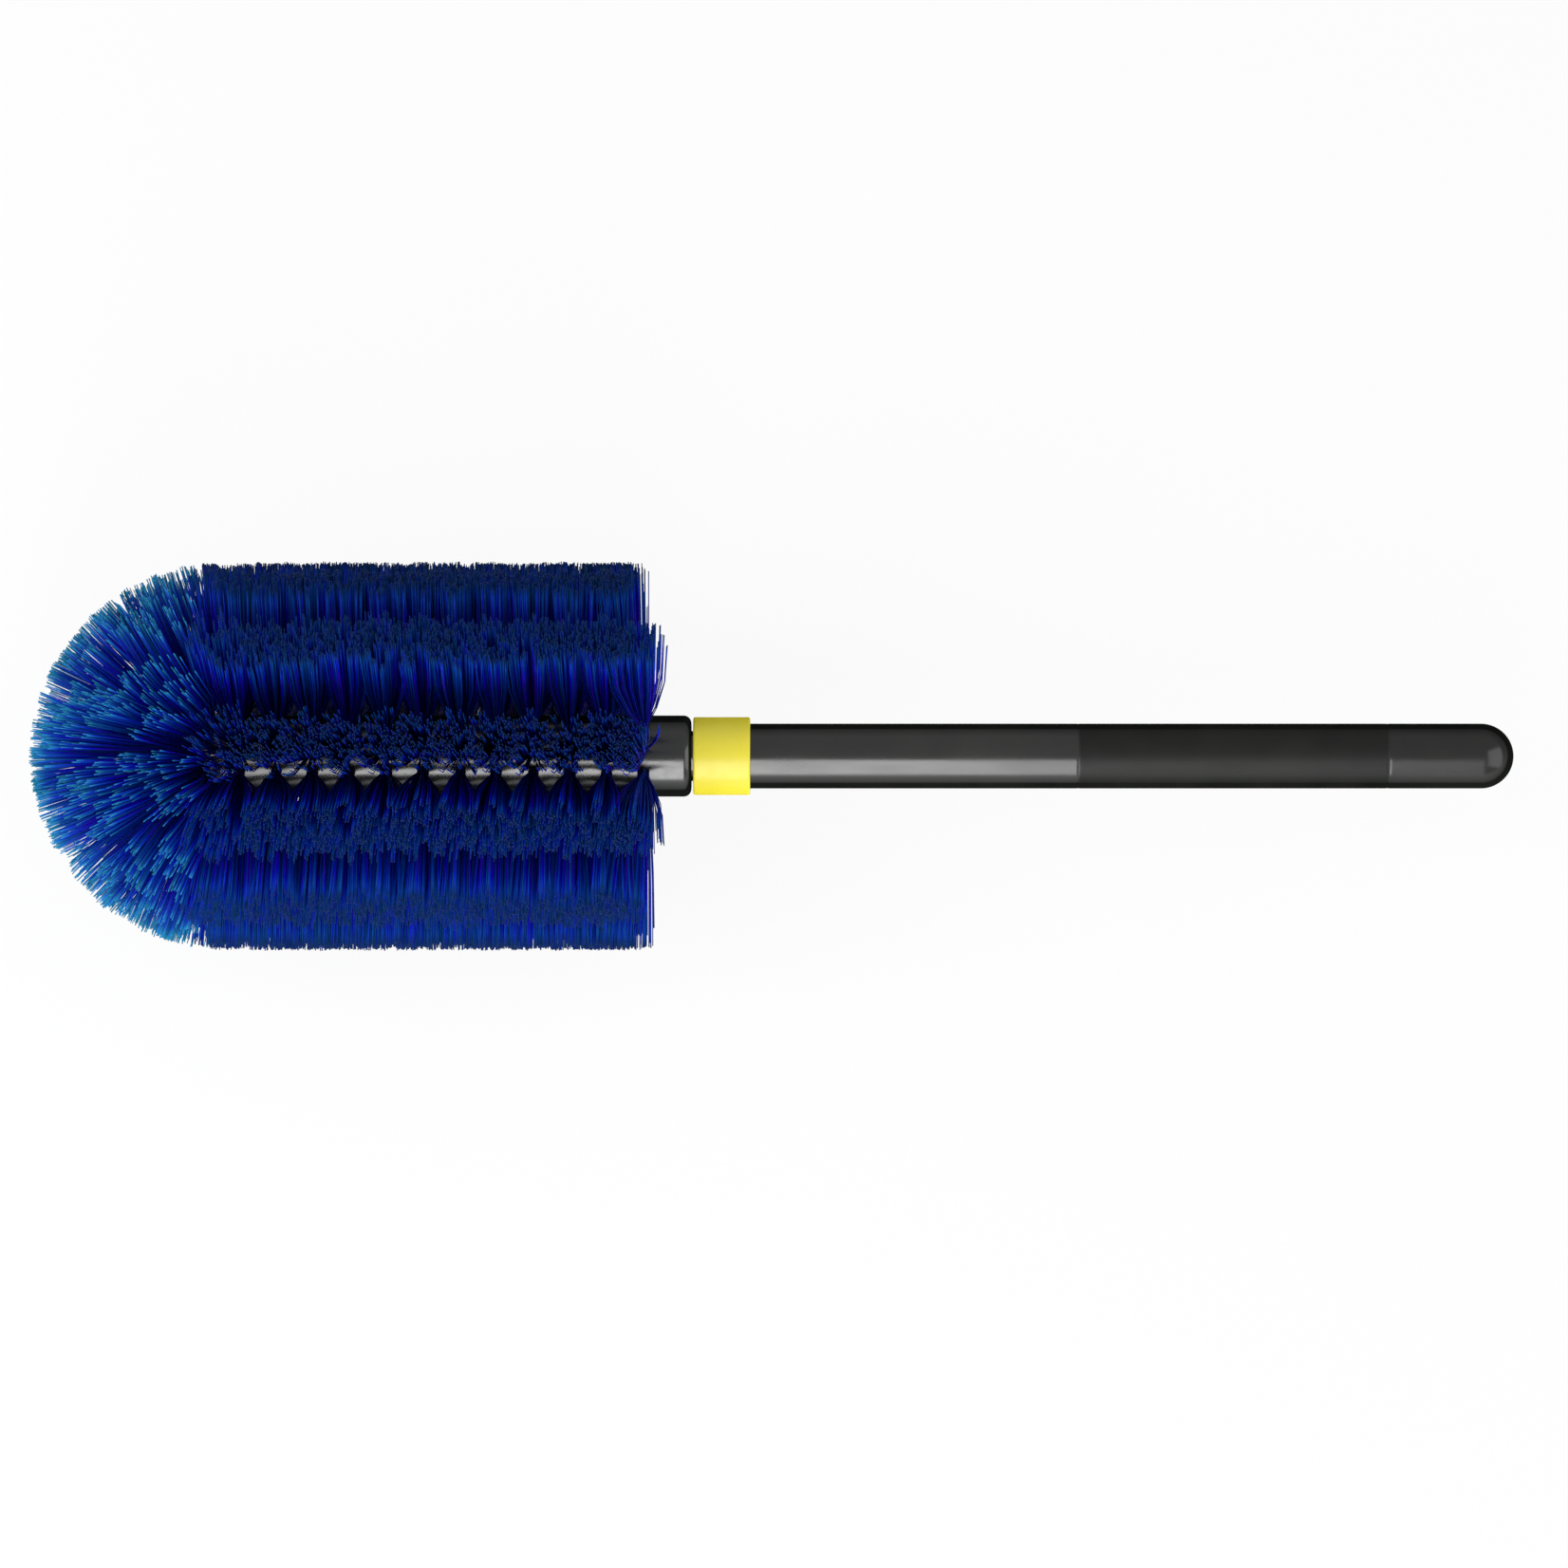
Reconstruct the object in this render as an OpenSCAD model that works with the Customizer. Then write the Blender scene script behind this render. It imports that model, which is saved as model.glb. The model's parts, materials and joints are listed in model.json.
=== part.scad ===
// Wheel brush with a flexible tufted core, a coloured band and a round hollow handle.
// Millimetres. X runs along the brush: the tip points to -X and the butt of the handle to +X.
// The origin is in the middle of the straight grip, on the axis of the brush. Z is up.

/* [Handle] */
// Diameter of the handle
handle_d = 20; // [18:0.5:22]
// Length of the straight grip
grip_l = 225; // [180:5:260]
// Wall thickness of the handle tube
handle_wall = 2.2; // [2:0.1:3]

/* [Neck] */
// Diameter of the coloured band
band_d = 24; // [23:0.5:26]
// Length of the coloured band
band_l = 17.5; // [14:0.5:24]

/* [Core] */
// Diameter of the core and its collar
core_d = 25; // [24:0.5:28]
// Distance from the rear face of the collar to the first ring of tufts
collar_to_ring = 14.6; // [13:0.2:20]

/* [Bristles] */
// Diameter across the trimmed bristles
head_d = 120; // [100:2:140]
// Distance between rings of tufts
ring_pitch = 11.25; // [10.5:0.25:13]
// Distance across one strand
strand_w = 1.9; // [1.2:0.1:2.2]

/* [Hidden] */
$fn = 72;

// Places along the brush
band_rear_x = -grip_l / 2;
band_front_x = band_rear_x - band_l;
neck_gap = 0.6;
collar_rear_x = band_front_x - neck_gap;
ring_count = 12;
first_ring_x = collar_rear_x - collar_to_ring;
last_ring_x = first_ring_x - ring_pitch * (ring_count - 1);
dome_x = last_ring_x - ring_pitch / 2;

// Handle
handle_r = handle_d / 2;
handle_bore_r = handle_r - handle_wall;
band_seat_r = handle_r - 0.2;
handle_front_x = band_front_x + 0.2;
handle_bore_end_x = grip_l / 2 + 2;

// Core
core_r = core_d / 2;
slice_gap = 1.5;
slice_l = ring_pitch - slice_gap;
rod_r = core_r - 3;
slice_sides = 12;
slice_bore_r = (rod_r + 0.3) / cos(180 / slice_sides);
dome_steps = 4;
dome_bore_r = (rod_r + 0.2) / cos(180 / slice_sides) / cos(45 / dome_steps);
collar_front_x = first_ring_x + ring_pitch / 2 + slice_gap / 2;
collar_edge_r = 2.4;
collar_wall = 3;
shank_r = handle_bore_r - 0.1;
shank_l = 32;
shank_end_x = handle_front_x + shank_l;
steel_r = 2.5;
steel_front_x = last_ring_x + 6;
steel_rear_x = shank_end_x - 2;
pin_r = 1.5;
pin_x = (band_front_x + band_rear_x) / 2;
pin_inner_r = 4;
fit_gap = 0.05;

// Tufts: each ring has its tufts a whole step apart, half a step away from straight down
head_r = head_d / 2;
tufts_in_ring = 12;
tuft_step = 360 / tufts_in_ring;
first_tuft_angle = tuft_step / 2;
strand_r = strand_w / sqrt(3);
strand_root_r = core_r - 1.6;
strand_fan = 6;
strand_lean = ring_pitch / 3;
strand_root_step = 1.7;

// The lowest strands are cut flat, so that the brush stands on them
stand_cut = 0.5;
lowest_z = head_r * cos(tuft_step / 2 - strand_fan);
stand_z = lowest_z - stand_cut;

// Tip tufts: latitude on the round end and number of tufts in each circle
tip_circles = [[18.5, 12], [42.5, 9], [66, 5], [90, 1]];
pole_fan = 5;

// Staples
staple_w = 2.4;
staple_t = 0.4;
staple_bottom_r = rod_r + 0.8;
staple_top_r = core_r - 1;

function ring_x(k) = first_ring_x - ring_pitch * (k - 1);
function unit(v) = v / norm(v);

// Points on an arc round (cx, cy), in the plane of a turned profile
function arc_points(cx, cy, r, from, to, steps) = [
    for (i = [0 : steps])
        let (a = from + (to - from) * i / steps)
        [cx + r * cos(a), cy + r * sin(a)]
];

// A point at a radius and an angle round the brush. Angle 0 is up and 90 is toward +Y.
function round_point(x, r, angle) = [x, r * sin(angle), r * cos(angle)];

// A point on the round end, at a radius, a latitude toward the tip and an angle round the brush
function dome_point(r, latitude, angle) = round_point(dome_x - r * sin(latitude), r * cos(latitude), angle);

// Turns a profile, drawn as (radius, place along X), round the X axis
module turned() {
    rotate([0, 90, 0])
        rotate_extrude()
            children();
}

// One three-sided strand between two points
module strand(root, tip) {
    along = unit(tip - root);
    side = unit(cross(along, abs(along[0]) < 0.9 ? [1, 0, 0] : [0, 1, 0]));
    other = cross(along, side);
    corner = [for (a = [0, 120, 240]) strand_r * (side * cos(a) + other * sin(a))];
    polyhedron(
        points = [for (c = corner) root + c, for (c = corner) tip + c],
        faces = [
            [0, 1, 2], [5, 4, 3],
            [0, 3, 1], [1, 3, 4],
            [1, 4, 2], [2, 4, 5],
            [2, 5, 0], [0, 5, 3]
        ]
    );
}

// Three strands of one tuft on the straight part of the core. The lean is 1 or -1.
module body_tuft(x, angle, lean) {
    for (i = [-1, 0, 1]) {
        root_angle = angle + i * strand_root_step / core_r * 180 / PI;
        strand(
            round_point(x + i * lean * strand_root_step, strand_root_r, root_angle),
            round_point(x + i * lean * strand_lean, head_r, angle + i * strand_fan)
        );
    }
}

// Two strands of one tuft on the round end, spread along their circle
module tip_tuft(latitude, angle, spread) {
    for (side = [-1, 1]) {
        tip_latitude = latitude < 90 ? latitude : latitude - pole_fan;
        tip_angle = latitude < 90 ? angle + side * spread : angle + 90 + 90 * side;
        root_latitude = latitude < 90 ? latitude : latitude - pole_fan;
        root_angle = latitude < 90 ? angle + side * spread / 2 : tip_angle;
        strand(
            dome_point(strand_root_r, root_latitude, root_angle),
            dome_point(head_r, tip_latitude, tip_angle)
        );
    }
}

// A flat staple, pressed into the core at the root of a tuft, with its long side along the brush
module staple() {
    translate([-staple_w / 2, -staple_t / 2, staple_bottom_r])
        cube([staple_w, staple_t, staple_top_r - staple_bottom_r]);
}

// Everything below the level on which the brush stands
module floor_block() {
    translate([dome_x - 2 * head_r, -head_r, -stand_z - head_r])
        cube([-dome_x + 2 * head_r, head_d, head_r]);
}

// A ring of tufts with its slice of the core, which has a flat under each row of tufts.
// The rows lean by turns, so that the lowest strands reach back and the brush doesn't tip onto its handle.
module tuft_ring(k) {
    color("mediumblue")
        difference() {
            union() {
                translate([ring_x(k) - slice_l / 2, 0, 0])
                    rotate([0, 90, 0])
                        core_slice();
                for (i = [0 : tufts_in_ring - 1])
                    body_tuft(ring_x(k), first_tuft_angle + i * tuft_step, i % 2 == 0 ? -1 : 1);
            }
            floor_block();
        }
}

module core_slice() {
    difference() {
        cylinder(r = core_r, h = slice_l, $fn = slice_sides);
        translate([0, 0, -1])
            cylinder(r = slice_bore_r, h = slice_l + 2, $fn = slice_sides);
    }
}

module staple_ring(k) {
    color("gainsboro")
        for (i = [0 : tufts_in_ring - 1])
            translate([ring_x(k), 0, 0])
                rotate([-(first_tuft_angle + i * tuft_step), 0, 0])
                    staple();
}

module handle_tube() {
    end_x = grip_l / 2;
    color("dimgray")
        difference() {
            turned()
                polygon(concat(
                    [
                        [0, handle_front_x],
                        [band_seat_r, handle_front_x],
                        [band_seat_r, band_rear_x],
                        [handle_r, band_rear_x]
                    ],
                    arc_points(0, end_x, handle_r, 0, 90, 9)
                ));
            translate([handle_front_x - 1, 0, 0])
                rotate([0, 90, 0])
                    cylinder(r = handle_bore_r, h = handle_bore_end_x - handle_front_x + 1);
            pin_holes();
        }
}

module neck_band() {
    edge = 0.6;
    inner_r = band_seat_r + fit_gap;
    outer_r = band_d / 2;
    color("gold")
        turned()
            polygon(concat(
                [[inner_r, band_front_x]],
                arc_points(outer_r - edge, band_front_x + edge, edge, -90, 0, 2),
                arc_points(outer_r - edge, band_rear_x - edge, edge, 0, 90, 2),
                [[inner_r, band_rear_x]]
            ));
}

module core_collar() {
    color("darkslategray")
        turned()
            polygon(concat(
                [[rod_r + fit_gap, collar_front_x], [core_r, collar_front_x]],
                arc_points(core_r - collar_edge_r, collar_rear_x - collar_edge_r, collar_edge_r, 0, 90, 4),
                [
                    [shank_r + fit_gap, collar_rear_x],
                    [shank_r + fit_gap, collar_rear_x - collar_wall],
                    [rod_r + fit_gap, collar_rear_x - collar_wall]
                ]
            ));
}

module core_rod() {
    shoulder_x = collar_rear_x - collar_wall - fit_gap;
    color("slategray")
        difference() {
            turned()
                polygon(concat(
                    arc_points(0, dome_x, rod_r, -90, 0, 5),
                    [[rod_r, shoulder_x], [shank_r, shoulder_x], [shank_r, shank_end_x], [0, shank_end_x]]
                ));
            translate([steel_front_x - fit_gap, 0, 0])
                rotate([0, 90, 0])
                    cylinder(r = steel_r + fit_gap, h = shank_end_x - steel_front_x + 1);
            pin_holes();
        }
}

module reinforcing_rod() {
    color("lightsteelblue")
        translate([steel_front_x, 0, 0])
            rotate([0, 90, 0])
                cylinder(r = steel_r, h = steel_rear_x - steel_front_x);
}

module pin_holes() {
    for (side = [0, 180])
        translate([pin_x, 0, 0])
            rotate([side, 0, 0])
                translate([0, 0, pin_inner_r - fit_gap])
                    cylinder(r = pin_r + fit_gap, h = handle_r);
}

module retaining_pins() {
    color("silver")
        for (side = [0, 180])
            translate([pin_x, 0, 0])
                rotate([side, 0, 0])
                    translate([0, 0, pin_inner_r])
                        cylinder(r = pin_r, h = band_seat_r - 0.1 - pin_inner_r);
}

// Tufts that radiate from the round end, with their slice of the core
module tuft_tip() {
    color("royalblue") {
        rotate([0, 90, 0])
            rotate_extrude($fn = slice_sides)
                polygon(concat(
                    arc_points(0, dome_x, dome_bore_r, 0, -90, dome_steps),
                    arc_points(0, dome_x, core_r, -90, 0, dome_steps)
                ));
        for (circle = tip_circles)
            for (i = [0 : circle[1] - 1])
                tip_tuft(circle[0], i * 360 / circle[1], 90 / circle[1]);
    }
}

module tip_staples() {
    color("lightgray")
        for (circle = tip_circles)
            for (i = [0 : circle[1] - 1])
                translate([dome_x, 0, 0])
                    rotate([-(i * 360 / circle[1]), 0, 0])
                        rotate([0, -circle[0], 0])
                            staple();
}

module tuft_ring_01() { tuft_ring(1); }
module tuft_ring_02() { tuft_ring(2); }
module tuft_ring_03() { tuft_ring(3); }
module tuft_ring_04() { tuft_ring(4); }
module tuft_ring_05() { tuft_ring(5); }
module tuft_ring_06() { tuft_ring(6); }
module tuft_ring_07() { tuft_ring(7); }
module tuft_ring_08() { tuft_ring(8); }
module tuft_ring_09() { tuft_ring(9); }
module tuft_ring_10() { tuft_ring(10); }
module tuft_ring_11() { tuft_ring(11); }
module tuft_ring_12() { tuft_ring(12); }

module staples_01() { staple_ring(1); }
module staples_02() { staple_ring(2); }
module staples_03() { staple_ring(3); }
module staples_04() { staple_ring(4); }
module staples_05() { staple_ring(5); }
module staples_06() { staple_ring(6); }
module staples_07() { staple_ring(7); }
module staples_08() { staple_ring(8); }
module staples_09() { staple_ring(9); }
module staples_10() { staple_ring(10); }
module staples_11() { staple_ring(11); }
module staples_12() { staple_ring(12); }

handle_tube();
neck_band();
core_collar();
core_rod();
reinforcing_rod();
retaining_pins();
tuft_ring_01();
tuft_ring_02();
tuft_ring_03();
tuft_ring_04();
tuft_ring_05();
tuft_ring_06();
tuft_ring_07();
tuft_ring_08();
tuft_ring_09();
tuft_ring_10();
tuft_ring_11();
tuft_ring_12();
tuft_tip();
staples_01();
staples_02();
staples_03();
staples_04();
staples_05();
staples_06();
staples_07();
staples_08();
staples_09();
staples_10();
staples_11();
staples_12();
tip_staples();
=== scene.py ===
"""Looks of the wheel brush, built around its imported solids.

Metres, in the frame of the solids: X runs along the brush with the tip at -X, and Z is up.
An angle round the brush is 0 straight up and 90 degrees toward +Y.
"""
import json
import math

import bpy
import numpy as np
from mathutils import Matrix, Vector


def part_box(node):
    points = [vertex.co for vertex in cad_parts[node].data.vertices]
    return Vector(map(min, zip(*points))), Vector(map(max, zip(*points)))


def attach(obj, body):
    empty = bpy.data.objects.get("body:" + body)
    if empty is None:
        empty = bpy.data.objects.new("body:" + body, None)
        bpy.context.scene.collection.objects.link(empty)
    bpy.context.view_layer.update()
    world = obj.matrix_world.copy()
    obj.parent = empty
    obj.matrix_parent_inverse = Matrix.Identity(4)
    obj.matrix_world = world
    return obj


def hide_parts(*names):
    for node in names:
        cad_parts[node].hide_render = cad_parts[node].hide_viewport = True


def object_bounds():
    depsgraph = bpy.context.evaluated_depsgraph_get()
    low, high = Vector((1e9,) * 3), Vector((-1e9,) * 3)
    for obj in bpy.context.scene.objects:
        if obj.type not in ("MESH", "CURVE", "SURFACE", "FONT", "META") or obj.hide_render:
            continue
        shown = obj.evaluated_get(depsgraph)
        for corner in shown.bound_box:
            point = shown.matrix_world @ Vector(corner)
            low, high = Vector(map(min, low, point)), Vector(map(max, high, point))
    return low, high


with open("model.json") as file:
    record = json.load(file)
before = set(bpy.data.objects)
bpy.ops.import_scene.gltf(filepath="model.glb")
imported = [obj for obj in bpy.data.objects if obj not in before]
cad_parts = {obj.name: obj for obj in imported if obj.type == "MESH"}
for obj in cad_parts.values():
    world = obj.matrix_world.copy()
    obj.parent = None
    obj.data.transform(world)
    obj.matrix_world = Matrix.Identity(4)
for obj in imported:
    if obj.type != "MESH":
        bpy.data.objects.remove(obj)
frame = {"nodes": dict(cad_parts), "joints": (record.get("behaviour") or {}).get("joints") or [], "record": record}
cad_low, cad_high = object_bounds()

MM = 0.001

# Places and sizes taken from the frame
handle_low, handle_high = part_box("handle_tube")
band_low, band_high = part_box("neck_band")
collar_low, collar_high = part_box("core_collar")
_, rod_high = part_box("core_rod")
steel_low, steel_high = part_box("reinforcing_rod")
handle_r = handle_high.z
band_r = band_high.z
core_r = collar_high.z
rod_r = rod_high.z
steel_r = steel_high.z
hinge_x = sorted((joint["pos_m"][0] for joint in frame["joints"]), reverse=True)
ring_pitch = hinge_x[0] - hinge_x[1]
ring_x = [x - ring_pitch / 2 for x in hinge_x]
ring_count = len(ring_x)
dome_x = ring_x[-1] - ring_pitch / 2
link_names = [f"link_{k + 1:02d}" for k in range(ring_count)]

# Sizes of the handle and neck that the frame's boxes don't give
FIT_GAP = 0.05 * MM
HANDLE_WALL = 2.2 * MM
HANDLE_BORE_R = handle_r - HANDLE_WALL
BORE_PAST_END = 2 * MM
BAND_SEAT_R = handle_r - 0.2 * MM
BAND_EDGE_R = 0.6 * MM
SHANK_R = HANDLE_BORE_R - 0.1 * MM
COLLAR_EDGE_R = 2.4 * MM
COLLAR_SHOULDER = 3 * MM
GRIP_FRONT_X = -11.6 * MM
GRIP_REAR_X = 83.6 * MM
GRIP_GROOVE_DEPTH = 0.06 * MM
GRIP_GROOVE_HALF = 0.5 * MM

# Turned shapes
LATHE_SIDES = 128
CORE_SIDES = 96
STEEL_SIDES = 32
SHARP_ANGLE = math.radians(32)
SHORT_ROW = 0.4 * MM
LONG_RUN = 4 * SHORT_ROW

# Lengths of the flexible core
ROUND_END_STEPS = 8
ROUND_END_LENGTH = 2.5 * MM
ROUND_END_INSET = 0.02 * MM
STEEL_END_LENGTH = 1.5 * MM
BORE_FLARE = 0.3 * MM

# Tufts
HEAD_R = 60 * MM
TUFTS_IN_RING = 12
TUFT_STEP = 2 * math.pi / TUFTS_IN_RING
TUFT_HOLE_R = 1.7 * MM
TUFT_ROOT_R = core_r - 1.2 * MM

# Half a tuft's width at the trim: along the brush or toward the pole, then around the brush
BODY_SPREAD = (8.6 * MM, 9.0 * MM)
REAR_SPREAD = (10.4 * MM, 9.0 * MM)
FRONT_SPREAD = (12.0 * MM, 10.5 * MM)
DOME_SPREAD = (13.4 * MM, 12.8 * MM)

# How far the front ring leans toward the tip, and the top row around the brush
FRONT_LEAN = 3.0 * MM
TOP_ROW = 11
TOP_ROW_LEAN = 2.6 * MM

# How far the rear ring leans toward the tip: in the top row, in the rows beside it and in all others
REAR_LEAN = (5.6 * MM, 3.2 * MM, 9.8 * MM)

# Circles of tip tufts, as degrees from the rim of the dome to its pole and the count of tufts
TIP_CIRCLES = ((18.5, 12), (42.5, 9), (66.0, 5), (90.0, 1))

# Strands
BODY_CLUMPS = 64
DOME_CLUMPS = 36
FILAMENTS_IN_CLUMP = 4
FILAMENT_SIDES = 4
FILAMENT_ROOT_R = 0.20 * MM
FILAMENT_TIP_R = 0.18 * MM
FILAMENT_STATIONS = np.array([0.0, 0.13, 0.2, 0.32, 0.6, 1.0])
SPLAY_START = 0.13
SPLAY_POWER = 2.5
SIDE_END = 0.97
BODY_SEED = 100
TIP_SEED = 200

# The power that draws a tuft's clumps to its middle, where 0.5 spreads them evenly
EVEN_CROWD = 0.5
REAR_CROWD = 0.8

# Random scatter, as shares of the hole's radius at the root and of the spread at the trim
CLUMP_SCATTER = 0.12
ROOT_SHARE = 0.8
ROOT_SCATTER = 0.16
TIP_SCATTER = 0.08

# Typical lengths by which clumps and single strands are cut short
CLUMP_CUT = 0.8 * MM
STRAND_CUT = 0.45 * MM

# Height of the lowest strand ends above the lowest point of the solids
FLOOR_CLEARANCE = 0.15 * MM

# Least divisors, for a strand that points along the brush and for one that is level
LEAST_OUTWARD = 1e-9
LEAST_DROP = 1e-6

# Places of a strand's faces on its texture map: its tint runs across, and the way along it runs up
MAP_MARGIN = 0.01
MAP_WIDTH = 0.96
MAP_HEIGHT = 0.97
MAP_SIDE_STEP = 0.004
MAP_END_STEP = 0.008

# Finishes
NOISE_LOW, NOISE_HIGH = 0.3, 0.7
RIM_START, RIM_END = 0.2, 0.45
HANDLE_GLOSS = 0.95
GRIP_GLOSS_SHARE = 0.30
END_GLOSS_SHARE = 0.70
GRIP_ROUGHER = 0.20
POLISHED_GRAIN = 0.12
GRIP_GRAIN = 0.6
STRAND_HUE = (0.475, 0.515)
STRAND_VALUE = (0.55, 1.45)

# Camera and stage
PHOTO_SIDE = 1652
METRES_PER_PIXEL = 0.2923 * MM
CAMERA_ELEVATION = math.radians(68.4)
CAMERA_DISTANCE = 2.2
SENSOR_WIDTH = 36.0
FRAME_CENTRE_X = -102.1 * MM
AXIS_ABOVE_CENTRE = 8.6 * MM
KEY_DEGREES = -42
WORLD_LIGHT = 0.40
FLOOR_SIZE = 30
FLOOR_GAP = 0.1 * MM
FLOOR_WHITE = 0.9
FLOOR_GLOW = 0.9


def direction(angle):
    """The unit vector at an angle round the brush."""
    return np.array([0.0, math.sin(angle), math.cos(angle)])


def around_brush(angle):
    """The unit vector round the brush at an angle."""
    return np.array([0.0, math.cos(angle), -math.sin(angle)])


# Materials

class NodeMaterial:
    """A node material around one principled shader, whose constant inputs are set by name."""

    def __init__(self, name, **constants):
        self.material = bpy.data.materials.new(name)
        self.material.use_nodes = True
        self.nodes = self.material.node_tree.nodes
        self.shader = self.nodes["Principled BSDF"]
        for key, value in constants.items():
            self.shader.inputs[key.replace("_", " ")].default_value = value

    def link(self, source, target):
        self.material.node_tree.links.new(source, target)

    def node(self, kind, **settings):
        made = self.nodes.new(kind)
        for key, value in settings.items():
            setattr(made, key, value)
        return made

    def place(self):
        """The place on the piece, in metres."""
        return self.node("ShaderNodeTexCoord").outputs["Object"]

    def noise(self, scale, detail, stretch=(1, 1, 1)):
        mapping = self.node("ShaderNodeMapping")
        mapping.inputs["Scale"].default_value = stretch
        self.link(self.place(), mapping.inputs["Vector"])
        texture = self.node("ShaderNodeTexNoise")
        texture.inputs["Scale"].default_value = scale
        texture.inputs["Detail"].default_value = detail
        self.link(mapping.outputs["Vector"], texture.inputs["Vector"])
        return texture.outputs["Fac"]

    def remap(self, source, low, high, new_low, new_high):
        made = self.node("ShaderNodeMapRange")
        for key, value in zip(("From Min", "From Max", "To Min", "To Max"), (low, high, new_low, new_high)):
            made.inputs[key].default_value = value
        self.link(source, made.inputs["Value"])
        return made.outputs["Result"]

    def uneven(self, noise, low, high):
        """A value that runs from low to high with the noise."""
        return self.remap(noise, NOISE_LOW, NOISE_HIGH, low, high)

    def math(self, operation, first, second):
        made = self.node("ShaderNodeMath", operation=operation)
        for socket, value in zip(made.inputs, (first, second)):
            if isinstance(value, (int, float)):
                socket.default_value = value
            else:
                self.link(value, socket)
        return made.outputs["Value"]

    def ramp(self, source, stops):
        made = self.node("ShaderNodeValToRGB")
        elements = made.color_ramp.elements
        while len(elements) < len(stops):
            elements.new(0.5)
        for element, (position, colour) in zip(elements, stops):
            element.position = position
            element.color = (*colour, 1.0)
        self.link(source, made.inputs["Fac"])
        return made.outputs["Color"]

    def cloudy_colour(self, noise, dark, light):
        """Links a base colour that runs from dark to light with the noise."""
        colour = self.ramp(noise, ((NOISE_LOW, dark), (NOISE_HIGH, light)))
        self.link(colour, self.shader.inputs["Base Color"])

    def soft_rim(self, specular):
        """Gloss that fades where the surface turns away."""
        weight = self.node("ShaderNodeLayerWeight")
        return self.remap(weight.outputs["Facing"], RIM_START, RIM_END, specular, 0.0)

    def bump(self, height, strength, distance):
        made = self.node("ShaderNodeBump")
        made.inputs["Strength"].default_value = strength
        made.inputs["Distance"].default_value = distance
        self.link(height, made.inputs["Height"])
        self.link(made.outputs["Normal"], self.shader.inputs["Normal"])


def moulded_plastic(name, dark, light, roughness, specular):
    """Moulded plastic with cloudy colour, uneven gloss and a fine grain."""
    made = NodeMaterial(name)
    made.link(made.soft_rim(specular), made.shader.inputs["Specular IOR Level"])
    made.cloudy_colour(made.noise(scale=60.0, detail=4.0), dark, light)
    wear = made.noise(scale=420.0, detail=5.0)
    made.link(made.uneven(wear, *roughness), made.shader.inputs["Roughness"])
    made.bump(made.noise(scale=2600.0, detail=2.0), strength=0.25, distance=0.03 * MM)
    return made.material


def handle_plastic():
    """Black moulded plastic, satin on the grip between its two grooves.

    Both ends of the handle are polished, and the rear end is a little worn.
    """
    made = NodeMaterial("handle_plastic")
    made.cloudy_colour(made.noise(scale=60.0, detail=4.0), (0.007, 0.008, 0.007), (0.012, 0.013, 0.011))

    split = made.node("ShaderNodeSeparateXYZ")
    made.link(made.place(), split.inputs["Vector"])
    x = split.outputs["X"]
    edge = GRIP_GROOVE_HALF
    after_front = made.remap(x, GRIP_FRONT_X - edge, GRIP_FRONT_X + edge, 0.0, 1.0)
    before_rear = made.remap(x, GRIP_REAR_X - edge, GRIP_REAR_X + edge, 1.0, 0.0)
    grip = made.math("MULTIPLY", after_front, before_rear)

    scratches = made.noise(scale=300.0, detail=5.0, stretch=(0.15, 1, 1))
    polished = made.uneven(scratches, low=0.20, high=0.28)
    satin = made.math("MULTIPLY", grip, GRIP_ROUGHER)
    made.link(made.math("ADD", polished, satin), made.shader.inputs["Roughness"])
    dulled = made.remap(grip, 0.0, 1.0, 1.0, GRIP_GLOSS_SHARE)
    worn = made.remap(x, GRIP_REAR_X - edge, GRIP_REAR_X + edge, 1.0, END_GLOSS_SHARE)
    gloss = made.math("MULTIPLY", made.math("MULTIPLY", made.soft_rim(HANDLE_GLOSS), dulled), worn)
    made.link(gloss, made.shader.inputs["Specular IOR Level"])

    grain = made.noise(scale=2200.0, detail=3.0)
    grain_share = made.remap(grip, 0.0, 1.0, POLISHED_GRAIN, GRIP_GRAIN)
    made.bump(made.math("MULTIPLY", grain, grain_share), strength=0.35, distance=0.04 * MM)
    return made.material


def bristle_nylon(name, near_tip, at_tip):
    """Blue nylon strands, royal blue along the side, with painted shade at the root and on the cut ends.

    The colours near the tip and at the tip are given.
    """
    made = NodeMaterial(name, Specular_IOR_Level=0.05)
    along = made.node("ShaderNodeAttribute", attribute_name="along").outputs["Fac"]
    tint = made.node("ShaderNodeAttribute", attribute_name="tint").outputs["Fac"]
    body = made.ramp(along, (
        # painted shade: the strands darken toward their roots, deep inside the tufts
        (0.0, (0.0020, 0.006, 0.190)),
        (0.5, (0.0008, 0.009, 0.370)),
        (0.76, (0.0010, 0.013, 0.360)),
        (0.90, near_tip),
        (SIDE_END, at_tip),
        # painted shade: the cut ends are darker than the sides
        (1.0, (0.0130, 0.028, 0.130)),
    ))
    vary = made.node("ShaderNodeHueSaturation")
    made.link(body, vary.inputs["Color"])
    made.link(made.remap(tint, 0.0, 1.0, *STRAND_HUE), vary.inputs["Hue"])
    made.link(made.remap(tint, 0.0, 1.0, *STRAND_VALUE), vary.inputs["Value"])
    made.link(vary.outputs["Color"], made.shader.inputs["Base Color"])
    scuff = made.noise(scale=900.0, detail=3.0)
    made.link(made.uneven(scuff, low=0.36, high=0.56), made.shader.inputs["Roughness"])
    made.bump(made.noise(scale=4000.0, detail=2.0), strength=0.2, distance=0.02 * MM)
    return made.material


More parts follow.
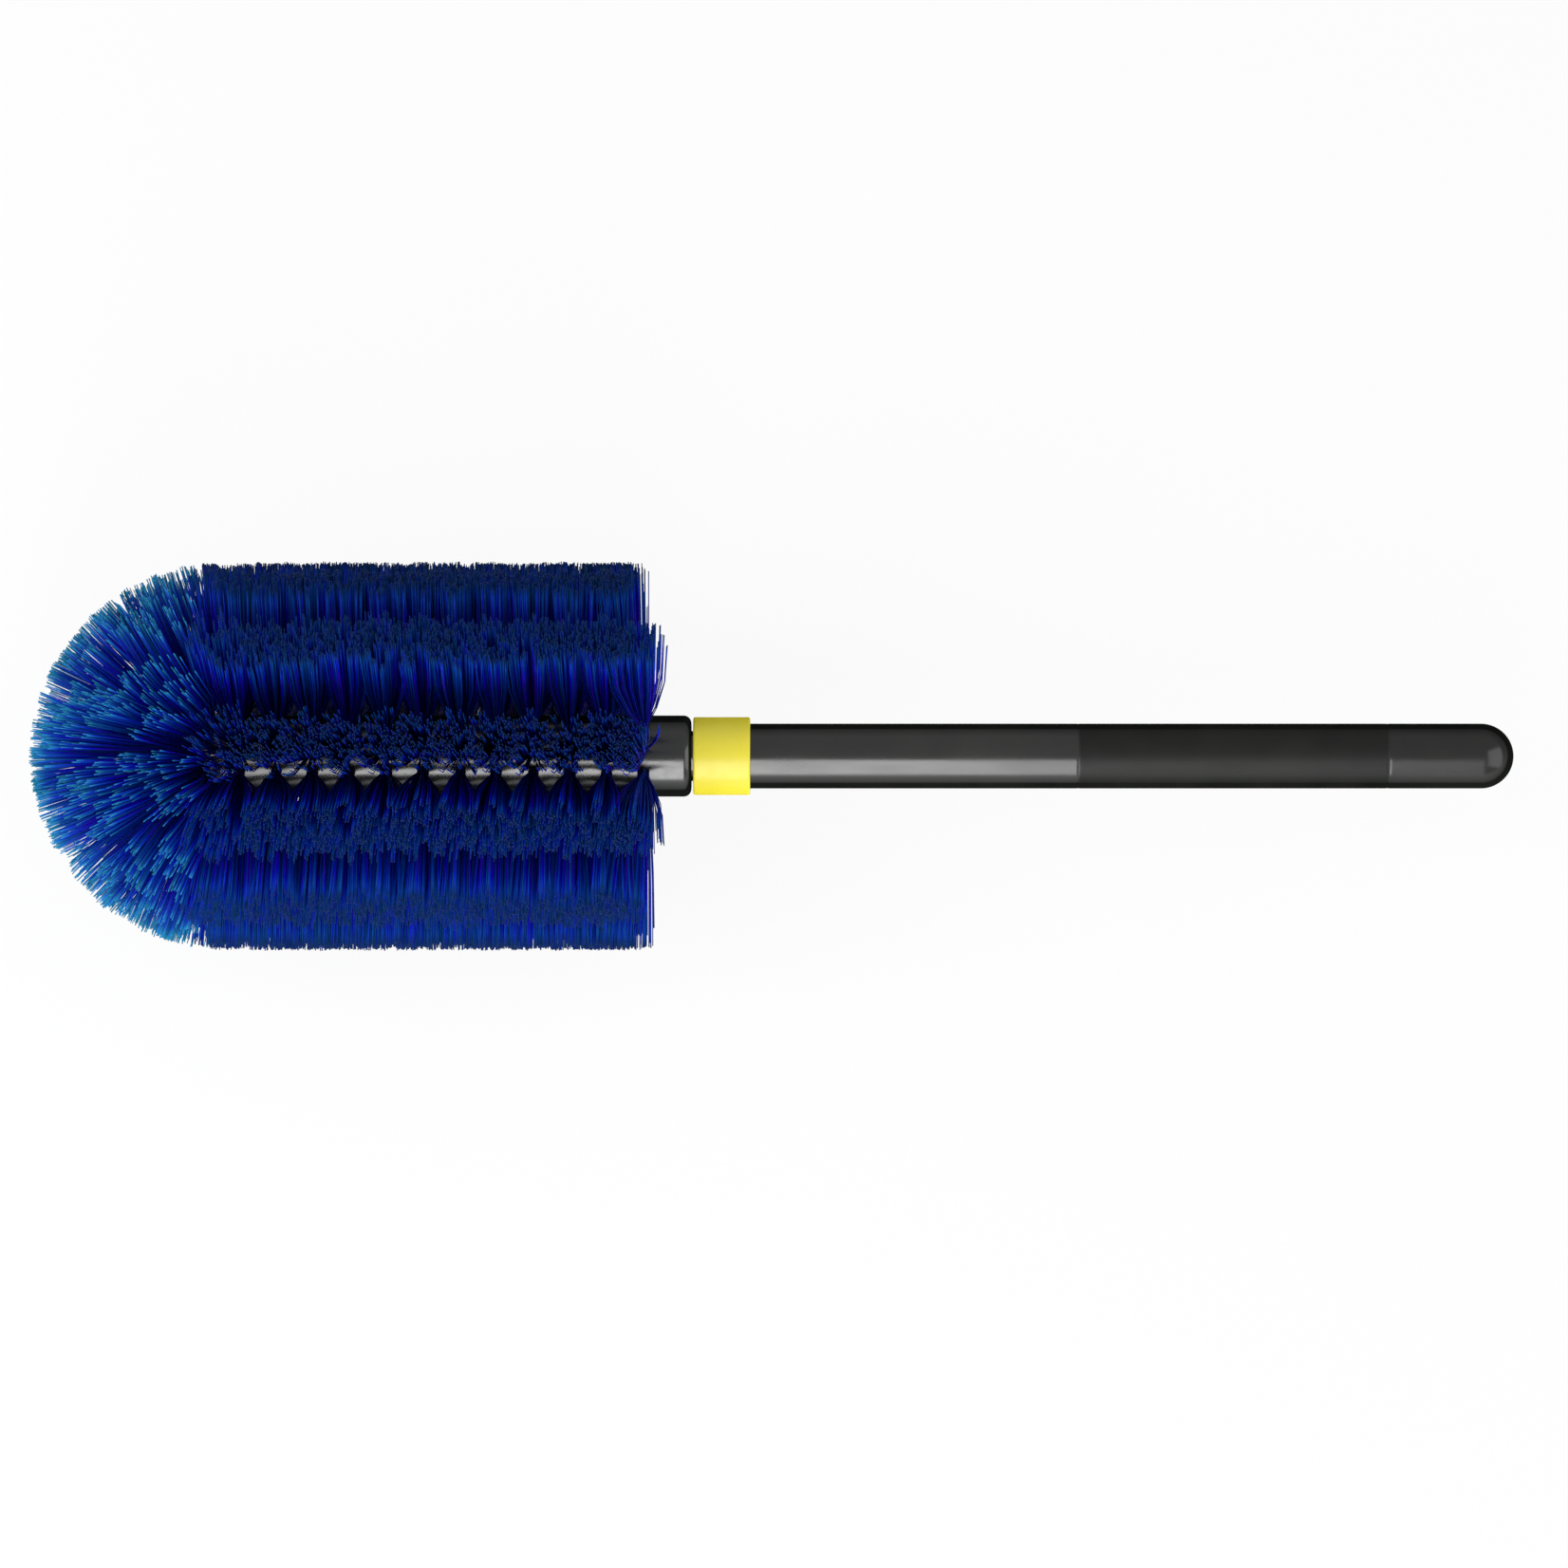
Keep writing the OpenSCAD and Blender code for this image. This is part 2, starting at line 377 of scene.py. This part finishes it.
def drawn_steel():
    """Drawn steel with fine lines along the brush."""
    made = NodeMaterial("drawn_steel", Metallic=1.0)
    lines = made.noise(scale=3000.0, detail=4.0, stretch=(0.02, 1, 1))
    made.cloudy_colour(lines, (0.42, 0.42, 0.43), (0.60, 0.60, 0.61))
    made.link(made.uneven(lines, low=0.24, high=0.42), made.shader.inputs["Roughness"])
    made.bump(lines, strength=0.2, distance=0.02 * MM)
    return made.material


def floor_paper():
    """White paper that also glows where it is seen or mirrored, so that shadows on it stay faint."""
    made = NodeMaterial("floor_paper")
    made.nodes.remove(made.shader)
    paper = made.node("ShaderNodeBsdfDiffuse")
    paper.inputs["Color"].default_value = (FLOOR_WHITE, FLOOR_WHITE, FLOOR_WHITE, 1)
    glow = made.node("ShaderNodeEmission")
    path = made.node("ShaderNodeLightPath")
    seen = made.math("MAXIMUM", path.outputs["Is Camera Ray"], path.outputs["Is Glossy Ray"])
    mix = made.node("ShaderNodeMixShader")
    made.link(made.math("MULTIPLY", seen, FLOOR_GLOW), mix.inputs["Fac"])
    made.link(paper.outputs["BSDF"], mix.inputs[1])
    made.link(glow.outputs["Emission"], mix.inputs[2])
    made.link(mix.outputs["Shader"], made.nodes["Material Output"].inputs["Surface"])
    return made.material


HANDLE_PLASTIC = handle_plastic()
CORE_PLASTIC = moulded_plastic(
    "core_plastic", (0.007, 0.008, 0.007), (0.012, 0.013, 0.012), roughness=(0.16, 0.24), specular=1.0)
BAND_PLASTIC = moulded_plastic(
    "band_plastic", (0.87, 0.75, 0.05), (0.93, 0.81, 0.07), roughness=(0.26, 0.36), specular=0.5)
# painted shade: the body strands get darker at the tip than along the side
BRISTLE_NYLON = bristle_nylon("bristle_nylon", (0.0026, 0.042, 0.390), (0.0018, 0.020, 0.110))
# painted light: the tip strands turn pale teal at the tip, standing in for light that shines through the nylon
TIP_NYLON = bristle_nylon("tip_nylon", (0.0040, 0.058, 0.390), (0.0180, 0.230, 0.420))
STEEL = drawn_steel()
SLOT_MATERIALS = {
    "handle_plastic": HANDLE_PLASTIC,
    "core_plastic": CORE_PLASTIC,
    "band_plastic": BAND_PLASTIC,
    "bristle": BRISTLE_NYLON,
    "steel": STEEL,
}


# Mesh helpers

def new_piece(mesh, slot, material=None):
    """Makes the object of a mesh, with a material of its own or that of its slot."""
    piece = bpy.data.objects.new(mesh.name, mesh)
    bpy.context.scene.collection.objects.link(piece)
    mesh.materials.append(material or SLOT_MATERIALS[slot])
    return piece


def arc(centre_x, centre_r, radius, start, end, steps):
    """Points (x, r) on an arc, with angles in degrees from the X axis."""
    angles = np.radians(np.linspace(start, end, steps + 1))
    return [(centre_x + radius * math.cos(a), centre_r + radius * math.sin(a)) for a in angles]


def with_short_rows(profile):
    """The profile with a point near each end of its long straight runs.

    Smooth shading then stays close to the edges.
    """
    finer = []
    for start, end in zip(profile, profile[1:] + profile[:1]):
        finer.append(start)
        step = (end[0] - start[0], end[1] - start[1])
        length = math.hypot(*step)
        if length > LONG_RUN:
            for share in (SHORT_ROW / length, 1 - SHORT_ROW / length):
                finer.append((start[0] + share * step[0], start[1] + share * step[1]))
    return finer


def lathe(name, profile, sides=LATHE_SIDES):
    """A closed mesh from a closed profile of (x, r) points, turned round the X axis."""
    turns = [2 * math.pi * i / sides for i in range(sides)]
    points = []
    rows = []
    for x, r in with_short_rows(profile):
        if r <= 0:
            rows.append([len(points)] * sides)
            points.append((x, 0.0, 0.0))
            continue
        rows.append([len(points) + i for i in range(sides)])
        points.extend((x, r * math.sin(t), r * math.cos(t)) for t in turns)
    faces = []
    for row, following in zip(rows, rows[1:] + rows[:1]):
        for i in range(sides):
            j = (i + 1) % sides
            corners = [row[i], row[j], following[j], following[i]]
            ring = list(dict.fromkeys(corners))
            if len(ring) > 2:
                faces.append(ring)
    mesh = bpy.data.meshes.new(name)
    mesh.from_pydata(points, [], faces)
    mesh.validate()
    mesh.shade_smooth()
    mesh.set_sharp_from_angle(angle=SHARP_ANGLE)
    return mesh


# Handle, band and collar

def groove(x):
    """Profile points of a shallow round groove at x on the handle."""
    shares = (-1.0, -0.5, 0.0, 0.5, 1.0)
    return [(x + s * GRIP_GROOVE_HALF, handle_r - GRIP_GROOVE_DEPTH * (1 - s ** 2)) for s in shares]


def make_handle():
    end_x = handle_high.x - handle_r
    bore_end_x = end_x + BORE_PAST_END
    profile = [
        (handle_low.x, HANDLE_BORE_R),
        (handle_low.x, BAND_SEAT_R),
        (band_high.x, BAND_SEAT_R),
        (band_high.x, handle_r),
        *groove(GRIP_FRONT_X),
        *groove(GRIP_REAR_X),
        *arc(end_x, 0.0, handle_r, start=90, end=0, steps=24)[:-1],
        (handle_high.x, 0.0),
        (bore_end_x, 0.0),
        (bore_end_x, HANDLE_BORE_R),
    ]
    handle = new_piece(lathe("handle", profile), "handle_plastic")
    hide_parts("handle_tube")
    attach(handle, "handle")


def make_band():
    inner_r = BAND_SEAT_R + FIT_GAP
    edge = BAND_EDGE_R
    profile = [
        (band_low.x, inner_r),
        *arc(band_low.x + edge, band_r - edge, edge, start=180, end=90, steps=6),
        *arc(band_high.x - edge, band_r - edge, edge, start=90, end=0, steps=6),
        (band_high.x, inner_r),
    ]
    band = new_piece(lathe("band", profile), "band_plastic")
    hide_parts("neck_band")
    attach(band, "handle")


def make_collar():
    edge = COLLAR_EDGE_R
    shoulder_x = collar_high.x - COLLAR_SHOULDER
    profile = [
        (collar_low.x, rod_r + FIT_GAP),
        (collar_low.x, core_r),
        *arc(collar_high.x - edge, core_r - edge, edge, start=90, end=0, steps=12),
        (collar_high.x, SHANK_R + FIT_GAP),
        (shoulder_x, SHANK_R + FIT_GAP),
        (shoulder_x, rod_r + FIT_GAP),
    ]
    collar = new_piece(lathe("collar", profile), "core_plastic")
    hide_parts("core_collar")
    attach(collar, "handle")


# Flexible core, in lengths on the handle and the links, whose round front ends fill the bends

def round_end(x, radius, length):
    """Profile points of a round end that starts at x with a radius and runs toward the tip for a length."""
    turn = math.asin(length / radius)
    angles = [turn * i / ROUND_END_STEPS for i in range(ROUND_END_STEPS + 1)]
    return [(x - radius * math.sin(a), radius * math.cos(a)) for a in angles]


def core_outline(rear_x, front_x, has_shank):
    """The profile of one length of core. The first has the shank that enters the handle."""
    bore_r = steel_r + FIT_GAP
    rear = [(rear_x, bore_r)]
    if has_shank:
        shoulder_x = collar_high.x - COLLAR_SHOULDER - FIT_GAP
        rear = [
            (rod_high.x, bore_r),
            (rod_high.x, SHANK_R),
            (shoulder_x, SHANK_R),
            (shoulder_x, rod_r),
            (rear_x, rod_r),
        ]
    front = round_end(front_x, core_r - ROUND_END_INSET, ROUND_END_LENGTH)
    bore = [(front[-1][0], bore_r + BORE_FLARE), (front_x, bore_r)]
    return [*rear, (rear_x, core_r), (front_x, core_r), *front, *bore]


def steel_outline(rear_x, front_x):
    """The profile of one length of steel rod."""
    front = round_end(front_x, steel_r, STEEL_END_LENGTH)
    return [(rear_x, 0.0), (rear_x, steel_r), *front, (front[-1][0], 0.0)]


def make_core():
    bodies = ["handle", *link_names]
    core_rear_x = [collar_low.x, *hinge_x]
    steel_rear_x = [steel_high.x, *hinge_x]
    for k, front_x in enumerate(hinge_x):
        outline = core_outline(core_rear_x[k], front_x, has_shank=k == 0)
        core = new_piece(lathe(f"core_{k + 1:02d}", outline, CORE_SIDES), "core_plastic")
        outline = steel_outline(steel_rear_x[k], max(front_x, steel_low.x + STEEL_END_LENGTH))
        steel = new_piece(lathe(f"steel_rod_{k + 1:02d}", outline, STEEL_SIDES), "steel")
        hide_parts("core_rod")
        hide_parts("reinforcing_rod")
        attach(core, bodies[k])
        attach(steel, bodies[k])
    outline = [
        (dome_x - core_r, 0.0),
        *arc(dome_x, 0.0, core_r, start=180, end=90, steps=15)[1:],
        (hinge_x[-1], core_r),
        (hinge_x[-1], 0.0),
    ]
    tip = new_piece(lathe("core_tip", outline, CORE_SIDES), "core_plastic")
    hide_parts("core_rod")
    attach(tip, link_names[-1])


# Bristles

def trimmed(root, heading, ragged):
    """Where strands end on the trimmed round-ended cylinder, each cut short by its ragged length."""
    a = heading[:, 1] ** 2 + heading[:, 2] ** 2
    b = root[:, 1] * heading[:, 1] + root[:, 2] * heading[:, 2]
    c = root[:, 1] ** 2 + root[:, 2] ** 2 - HEAD_R ** 2
    reach = (-b + np.sqrt(np.maximum(b * b - a * c, 0))) / np.maximum(a, LEAST_OUTWARD)
    past_dome = root[:, 0] + reach * heading[:, 0] < dome_x
    from_dome = root - np.array([dome_x, 0, 0])
    b = np.einsum("ij,ij->i", from_dome, heading)
    c = np.einsum("ij,ij->i", from_dome, from_dome) - HEAD_R ** 2
    reach = np.where(past_dome, -b + np.sqrt(np.maximum(b * b - c, 0)), reach)
    reach = reach - ragged
    down = np.minimum(heading[:, 2], -LEAST_DROP)
    to_floor = (cad_low.z + FLOOR_CLEARANCE - root[:, 2]) / down
    reach = np.where(heading[:, 2] < 0, np.minimum(reach, to_floor), reach)
    return root + reach[:, None] * heading


def tuft(rng, centre, axis, first, second, spread, lean, clumps, splayed, crowd=EVEN_CROWD):
    """The paths of one tuft's strands, with a point at each station.

    The tuft stands on the axis. Its strands fan out along the first and second directions.
    Along those that are splayed they part soon after they leave the hole, then run on side by side.
    They gather in small clumps.
    """
    count = clumps * FILAMENTS_IN_CLUMP
    turn = rng.uniform(0, 2 * math.pi, clumps)
    clump = np.stack([np.cos(turn), np.sin(turn)], axis=1) * rng.uniform(0, 1, (clumps, 1)) ** crowd
    clump = clump + rng.normal(0, CLUMP_SCATTER, (clumps, 2))
    clump_cut = np.abs(rng.normal(0, CLUMP_CUT, clumps))
    in_clump = np.repeat(np.arange(clumps), FILAMENTS_IN_CLUMP)
    at_root = clump[in_clump] * ROOT_SHARE + rng.normal(0, ROOT_SCATTER, (count, 2))
    at_tip = clump[in_clump] + rng.normal(0, TIP_SCATTER, (count, 2))
    at_root /= np.maximum(1, np.linalg.norm(at_root, axis=1))[:, None]
    root = centre + axis * TUFT_ROOT_R
    root = root + TUFT_HOLE_R * (at_root[:, :1] * first + at_root[:, 1:] * second)
    target = centre + axis * HEAD_R
    offset = at_tip * spread + lean
    target = target + offset[:, :1] * first + offset[:, 1:] * second
    heading = target - root
    heading /= np.linalg.norm(heading, axis=1)[:, None]
    ragged = clump_cut[in_clump] + np.abs(rng.normal(0, STRAND_CUT, count))
    run = trimmed(root, heading, ragged) - root
    t = FILAMENT_STATIONS
    splay = 1 - (1 - np.maximum(0, t - SPLAY_START) / (1 - SPLAY_START)) ** SPLAY_POWER
    path = root[:, None] + t[None, :, None] * run[:, None]
    for across in splayed:
        aside = (splay - t)[None, :] * (run @ across)[:, None]
        path = path + aside[..., None] * across
    return path


def filament_mesh(name, rng, tufts):
    """Strands along their curves.

    Each strand has a tint of its own. The place along its sides runs from 0 at the root to SIDE_END, and
    its cut end counts as 1.
    """
    path = np.concatenate(tufts)
    count = len(path)
    chord = path[:, -1] - path[:, 0]
    chord /= np.linalg.norm(chord, axis=1)[:, None]
    side = np.cross(chord, chord[:, [2, 0, 1]])
    side /= np.linalg.norm(side, axis=1)[:, None]
    other = np.cross(chord, side)
    turn = rng.uniform(0, 2 * math.pi, count)[:, None]
    turn = turn + 2 * math.pi * np.arange(FILAMENT_SIDES)[None, :] / FILAMENT_SIDES
    corner = np.cos(turn)[..., None] * side[:, None] + np.sin(turn)[..., None] * other[:, None]
    width = FILAMENT_ROOT_R + (FILAMENT_TIP_R - FILAMENT_ROOT_R) * FILAMENT_STATIONS
    points = path[:, :, None, :] + width[None, :, None, None] * corner[:, None, :, :]

    rows = len(FILAMENT_STATIONS)
    sides = FILAMENT_SIDES
    strand = []
    for s in range(rows - 1):
        for j in range(sides):
            here, beside = sides * s + j, sides * s + (j + 1) % sides
            strand += [(here, beside, beside + sides), (here, beside + sides, here + sides)]
    last = sides * (rows - 1)
    root_end = [(0, j + 1, j) for j in range(1, sides - 1)]
    cut_end = [(last, last + j, last + j + 1) for j in range(1, sides - 1)]
    strand = np.array(strand + root_end + cut_end)
    triangles = strand[None] + (np.arange(count) * sides * rows)[:, None, None]
    triangles = triangles.reshape(-1, 3)
    ends = slice(-2 * len(cut_end), None)
    cut = slice(-len(cut_end), None)

    mesh = bpy.data.meshes.new(name)
    mesh.vertices.add(count * rows * sides)
    mesh.vertices.foreach_set("co", points.astype(np.float32).ravel())
    mesh.loops.add(triangles.size)
    mesh.loops.foreach_set("vertex_index", triangles.astype(np.int32).ravel())
    mesh.polygons.add(len(triangles))
    mesh.polygons.foreach_set("loop_start", np.arange(0, triangles.size, 3, dtype=np.int32))
    mesh.update(calc_edges=True)
    mesh.validate()
    smooth = np.ones((count, len(strand)), dtype=bool)
    smooth[:, ends] = False
    mesh.polygons.foreach_set("use_smooth", smooth.ravel())

    along = np.repeat((FILAMENT_STATIONS * SIDE_END)[strand // sides][None], count, axis=0)
    along[:, cut] = 1.0
    tint = np.broadcast_to(rng.uniform(0, 1, count)[:, None, None], along.shape)
    for key, values in (("along", along), ("tint", tint)):
        attribute = mesh.attributes.new(key, "FLOAT", "CORNER")
        attribute.data.foreach_set("value", values.astype(np.float32).ravel())
    map_u = MAP_MARGIN + MAP_WIDTH * tint + MAP_SIDE_STEP * (strand % sides)
    map_v = MAP_MARGIN + MAP_HEIGHT * along
    map_v[:, ends, 1] += MAP_END_STEP
    uv_map = mesh.uv_layers.new(name="OFBake")
    uv_map.uv.foreach_set("vector", np.stack([map_u, map_v], axis=-1).astype(np.float32).ravel())
    return mesh


def ring_tuft(rng, k, i):
    """The strands of tuft i of ring k."""
    along_brush = np.array([1.0, 0.0, 0.0])
    angle = TUFT_STEP * (i + 0.5)
    around = around_brush(angle)
    spread, crowd = BODY_SPREAD, EVEN_CROWD
    lean = [0.0, 0.0]
    splayed = [along_brush]
    if k == 0:
        spread, crowd = REAR_SPREAD, REAR_CROWD
        rows_away = min((i - TOP_ROW) % TUFTS_IN_RING, (TOP_ROW - i) % TUFTS_IN_RING)
        lean[0] = -REAR_LEAN[min(rows_away, 2)]
    if k == ring_count - 1:
        spread = FRONT_SPREAD
        lean[0] = -FRONT_LEAN
    if i == TOP_ROW:
        lean[1] = -TOP_ROW_LEAN
        splayed.append(around)
    centre = np.array([ring_x[k], 0.0, 0.0])
    return tuft(
        rng, centre, direction(angle), along_brush, around, spread, lean, BODY_CLUMPS, splayed, crowd)


def make_body_bristles():
    for k in range(ring_count):
        rng = np.random.default_rng(BODY_SEED + k)
        tufts = [ring_tuft(rng, k, i) for i in range(TUFTS_IN_RING)]
        bristles = new_piece(filament_mesh(f"bristles_{k + 1:02d}", rng, tufts), "bristle")
        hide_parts(f"tuft_ring_{k + 1:02d}")
        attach(bristles, link_names[k])


def tip_tuft(rng, latitude, angle):
    """The strands of the tip tuft at a latitude above the rim of the dome and an angle round the brush."""
    tipward = np.array([-1.0, 0.0, 0.0])
    outward = direction(angle)
    axis = outward * math.cos(latitude) + tipward * math.sin(latitude)
    toward_pole = tipward * math.cos(latitude) - outward * math.sin(latitude)
    around = around_brush(angle)
    centre = np.array([dome_x, 0.0, 0.0])
    no_lean = (0.0, 0.0)
    return tuft(rng, centre, axis, toward_pole, around, DOME_SPREAD, no_lean, DOME_CLUMPS, [toward_pole])


def make_tip_bristles():
    for n, (latitude, count) in enumerate(TIP_CIRCLES):
        rng = np.random.default_rng(TIP_SEED + n)
        tufts = [tip_tuft(rng, math.radians(latitude), 2 * math.pi * i / count) for i in range(count)]
        mesh = filament_mesh(f"bristles_tip_{n + 1}", rng, tufts)
        bristles = new_piece(mesh, "bristle", TIP_NYLON)
        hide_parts("tuft_tip")
        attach(bristles, link_names[-1])


# Stage

def aim(thing, target, back, distance):
    """Puts a camera or lamp at a distance from its target, looking at it, with its own X along the brush."""
    back = back.normalized()
    up = back.cross(Vector((1, 0, 0))).normalized()
    turn = Matrix((up.cross(back), up, back)).transposed().to_4x4()
    thing.matrix_world = Matrix.Translation(target + back * distance) @ turn


def make_camera():
    to_camera = Vector((0, -math.cos(CAMERA_ELEVATION), math.sin(CAMERA_ELEVATION)))
    image_up = Vector((0, math.sin(CAMERA_ELEVATION), math.cos(CAMERA_ELEVATION)))
    data = bpy.data.cameras.new("camera")
    data.sensor_width = SENSOR_WIDTH
    data.lens = SENSOR_WIDTH * CAMERA_DISTANCE / (PHOTO_SIDE * METRES_PER_PIXEL)
    camera = bpy.data.objects.new("camera", data)
    bpy.context.scene.collection.objects.link(camera)
    aim(camera, Vector((FRAME_CENTRE_X, 0, 0)) - image_up * AXIS_ABOVE_CENTRE, to_camera, CAMERA_DISTANCE)
    bpy.context.scene.camera = camera


def around_view(degrees):
    """The direction at an angle round the brush, counted from the camera's direction."""
    return Vector(direction(math.radians(degrees) - (math.pi / 2 - CAMERA_ELEVATION)))


def softbox(name, target_x, back, distance, size, watts):
    """An area lamp that shines from a distance on a place on the brush's axis."""
    data = bpy.data.lights.new(name, "AREA")
    data.shape = "RECTANGLE"
    data.size, data.size_y = size
    data.energy = watts
    lamp = bpy.data.objects.new(name, data)
    bpy.context.scene.collection.objects.link(lamp)
    aim(lamp, Vector((target_x, 0, 0)), back, distance)


def make_lights():
    key = around_view(KEY_DEGREES)
    left = Vector((-0.75, -0.296, 0.59))
    right = Vector((0.82, -0.3, 0.486))
    softbox("key", target_x=-0.19, back=key, distance=2.0, size=(0.52, 2.1), watts=19.5)
    softbox("key_rear", target_x=0.235, back=key, distance=2.0, size=(0.33, 2.1), watts=1.2)
    softbox("left", target_x=-0.2, back=left, distance=1.2, size=(0.9, 0.9), watts=10)
    softbox("right", target_x=-0.2, back=right, distance=1.7, size=(1.6, 1.6), watts=10)
    world = bpy.data.worlds.new("studio")
    world.use_nodes = True
    background = world.node_tree.nodes["Background"]
    background.inputs["Color"].default_value = (1, 1, 1, 1)
    background.inputs["Strength"].default_value = WORLD_LIGHT
    bpy.context.scene.world = world


def make_floor():
    """A white floor that shows the object's shadow faintly."""
    bpy.ops.mesh.primitive_plane_add(size=FLOOR_SIZE, location=(0, 0, cad_low.z - FLOOR_GAP))
    floor = bpy.context.object
    floor.name = "floor"
    floor.data.materials.append(floor_paper())


def finish_cad_nodes():
    """Gives the solids of the frame the same finishes as the pieces."""
    for entry in frame["record"]["subparts"]:
        solid = frame["nodes"][entry["node"]]
        solid.data.materials.clear()
        solid.data.materials.append(SLOT_MATERIALS[entry["material_slot"]])


bpy.context.scene.view_settings.view_transform = "Standard"
make_camera()
make_lights()
make_floor()
finish_cad_nodes()
make_handle()
make_band()
make_collar()
make_core()
make_body_bristles()
make_tip_bristles()
